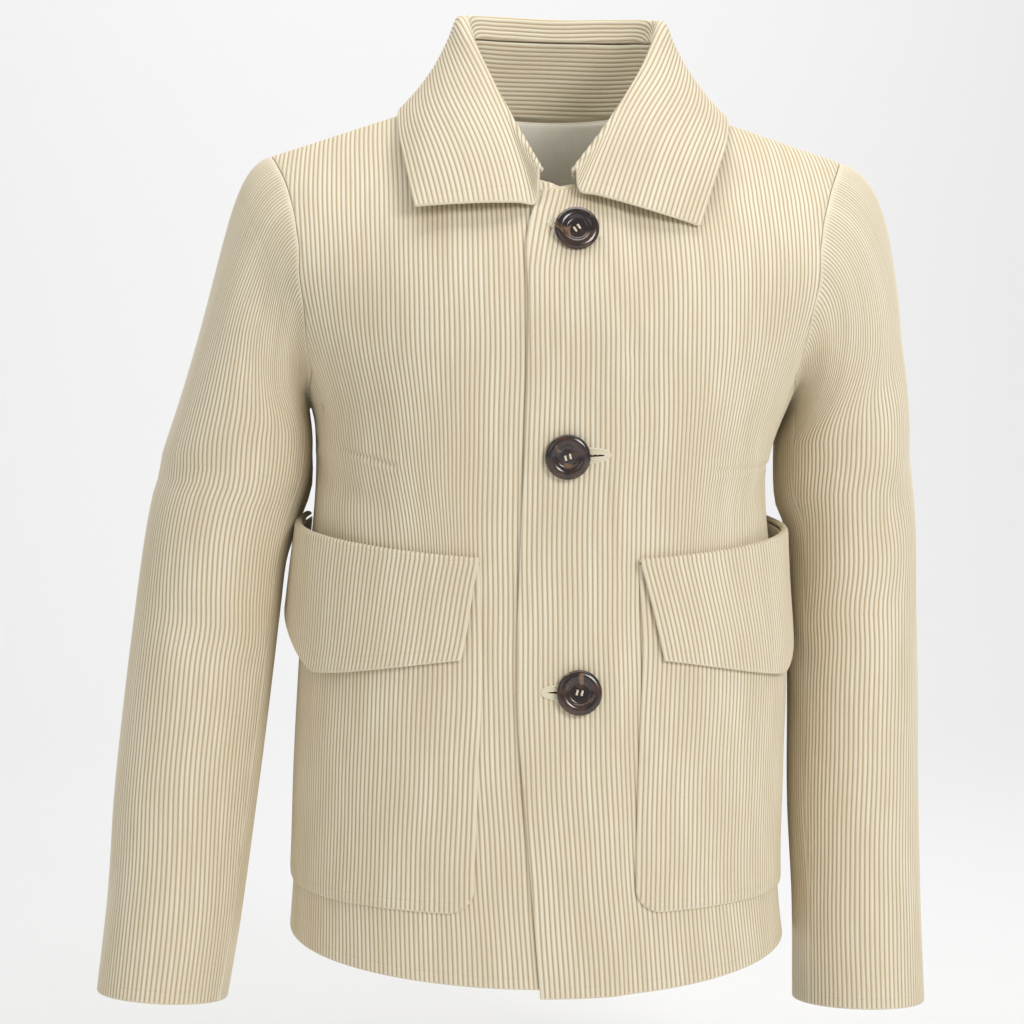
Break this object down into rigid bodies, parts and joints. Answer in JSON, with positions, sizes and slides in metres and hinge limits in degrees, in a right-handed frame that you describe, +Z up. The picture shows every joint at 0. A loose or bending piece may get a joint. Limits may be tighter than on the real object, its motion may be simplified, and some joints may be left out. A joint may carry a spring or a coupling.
{
  "type": "corduroy jacket",
  "caption": "Short boxy cream corduroy jacket with a turned collar, dark horn buttons and large patch pockets with folded cuffs, in the hollow form of a worn garment.",
  "frame": {"origin": "middle of the neck base, level with the two neck points of the shoulder seams", "axes": "+Z up, -Y the front, +X the wearer's left"},
  "size_m": [0.5244, 0.2591, 0.6487],
  "materials": {
    "corduroy": "soft ribbed pile",
    "lining": "fine matt weave",
    "button_horn": "polished"
  },
  "bodies": {
    "root": {"front_left": "corduroy", "front_right": "corduroy", "back": "corduroy", "back_lining": "lining", "sleeve_top_left": "corduroy", "sleeve_under_left": "corduroy", "sleeve_top_right": "corduroy", "sleeve_under_right": "corduroy", "collar_stand": "corduroy", "collar_fall": "corduroy", "pocket_left": "corduroy", "pocket_cuff_left": "corduroy", "pocket_right": "corduroy", "pocket_cuff_right": "corduroy", "button_top": "button_horn", "button_middle": "button_horn", "button_bottom": "button_horn"}
  },
  "joints": []
}
